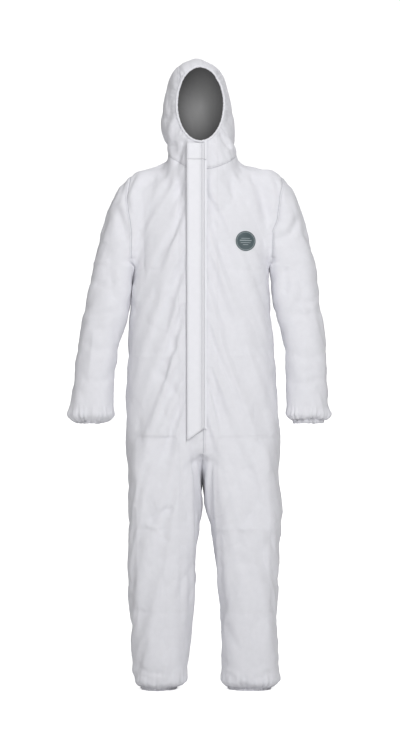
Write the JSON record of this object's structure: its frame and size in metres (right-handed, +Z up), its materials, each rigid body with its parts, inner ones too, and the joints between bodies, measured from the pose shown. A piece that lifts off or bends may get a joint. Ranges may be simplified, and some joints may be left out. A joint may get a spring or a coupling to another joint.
{
  "type": "chemical protective suit",
  "caption": "Hooded one-piece protective coverall with a zip under a storm flap and elastic at the face, waist, cuffs and ankles.",
  "frame": {"origin": "on the ground, midway between the two leg hems, under the middle of the suit", "axes": "+Z up, -Y towards the front, +X towards the wearer's left"},
  "size_m": [0.7158, 0.2386, 1.749],
  "materials": {
    "suit_fabric": "matt non-woven",
    "liner": "matt",
    "elastic": "matt woven",
    "zip_plastic": "satin",
    "zip_tape": "matt woven",
    "badge": "printed matt",
    "label": "satin woven"
  },
  "bodies": {
    "torso": {"front_panel_left": "suit_fabric", "front_panel_right": "suit_fabric", "back_panel_left": "suit_fabric", "back_panel_right": "suit_fabric", "waist_elastic": "elastic", "chest_badge": "badge", "care_label": "label", "zip_tape_left": "zip_tape", "zip_tape_right": "zip_tape", "zip_coil_left": "zip_plastic", "zip_coil_right": "zip_plastic", "zip_bottom_stop": "zip_plastic", "flap_seam_strip": "suit_fabric"},
    "storm_flap": {"storm_flap": "suit_fabric"},
    "zip_slider": {"slider_body": "zip_plastic"},
    "pull_tab": {"pull_tab": "zip_plastic"},
    "hood": {"hood_crown": "suit_fabric", "hood_side_left": "suit_fabric", "hood_side_right": "suit_fabric", "face_casing": "suit_fabric", "face_elastic": "elastic", "hood_liner": "liner", "chin_zip_tape_left": "zip_tape", "chin_zip_tape_right": "zip_tape", "chin_zip_coil_left": "zip_plastic", "chin_zip_coil_right": "zip_plastic", "chin_flap": "suit_fabric", "chin_flap_strip": "suit_fabric"},
    "upper_arm_left": {"upper_sleeve_left": "suit_fabric"},
    "forearm_left": {"forearm_sleeve_left": "suit_fabric", "cuff_casing_left": "suit_fabric", "cuff_elastic_left": "elastic"},
    "thigh_left": {"front_thigh_panel_left": "suit_fabric", "back_thigh_panel_left": "suit_fabric"},
    "shin_left": {"front_shin_panel_left": "suit_fabric", "back_shin_panel_left": "suit_fabric", "ankle_casing_left": "suit_fabric", "ankle_elastic_left": "elastic"},
    "upper_arm_right": {"upper_sleeve_right": "suit_fabric"},
    "forearm_right": {"forearm_sleeve_right": "suit_fabric", "cuff_casing_right": "suit_fabric", "cuff_elastic_right": "elastic"},
    "thigh_right": {"front_thigh_panel_right": "suit_fabric", "back_thigh_panel_right": "suit_fabric"},
    "shin_right": {"front_shin_panel_right": "suit_fabric", "back_shin_panel_right": "suit_fabric", "ankle_casing_right": "suit_fabric", "ankle_elastic_right": "elastic"}
  },
  "joints": [
    {"name": "hood_fold_back", "type": "hinge", "parent": "torso", "child": "hood", "pos_m": [0, 0.085, 1.495], "axis": [-1, 0, 0], "range_deg": [0, 70]},
    {"name": "flap_open", "type": "hinge", "parent": "torso", "child": "storm_flap", "pos_m": [0.0027, -0.1158, 1.08], "axis": [0, 0, 1], "range_deg": [0, 150]},
    {"name": "zip_slide", "type": "slide", "parent": "torso", "child": "zip_slider", "axis": [0, 0, 1], "range_m": [-0.688, 0.052]},
    {"name": "pull_tab_swing", "type": "hinge", "parent": "zip_slider", "child": "pull_tab", "pos_m": [-0.012, -0.1119, 1.446], "axis": [-1, 0, 0], "range_deg": [0, 5]},
    {"name": "shoulder_raise_left", "type": "hinge", "parent": "torso", "child": "upper_arm_left", "pos_m": [0.191, 0, 1.305], "axis": [0, -1, 0], "range_deg": [0, 75]},
    {"name": "elbow_bend_left", "type": "hinge", "parent": "upper_arm_left", "child": "forearm_left", "pos_m": [0.26756, -0.062, 1.073], "axis": [-0.9945, 0, -0.1045], "range_deg": [0, 110]},
    {"name": "hip_bend_left", "type": "hinge", "parent": "torso", "child": "thigh_left", "pos_m": [0.109, -0.112, 0.65], "axis": [-1, 0, 0], "range_deg": [0, 90]},
    {"name": "knee_bend_left", "type": "hinge", "parent": "thigh_left", "child": "shin_left", "pos_m": [0.115, 0.104, 0.448], "axis": [1, 0, 0], "range_deg": [0, 110]},
    {"name": "shoulder_raise_right", "type": "hinge", "parent": "torso", "child": "upper_arm_right", "pos_m": [-0.191, 0, 1.305], "axis": [0, 1, 0], "range_deg": [0, 75]},
    {"name": "elbow_bend_right", "type": "hinge", "parent": "upper_arm_right", "child": "forearm_right", "pos_m": [-0.26756, -0.062, 1.073], "axis": [-0.9945, 0, 0.1045], "range_deg": [0, 110]},
    {"name": "hip_bend_right", "type": "hinge", "parent": "torso", "child": "thigh_right", "pos_m": [-0.109, -0.112, 0.65], "axis": [-1, 0, 0], "range_deg": [0, 90]},
    {"name": "knee_bend_right", "type": "hinge", "parent": "thigh_right", "child": "shin_right", "pos_m": [-0.115, 0.104, 0.448], "axis": [1, 0, 0], "range_deg": [0, 110]}
  ]
}
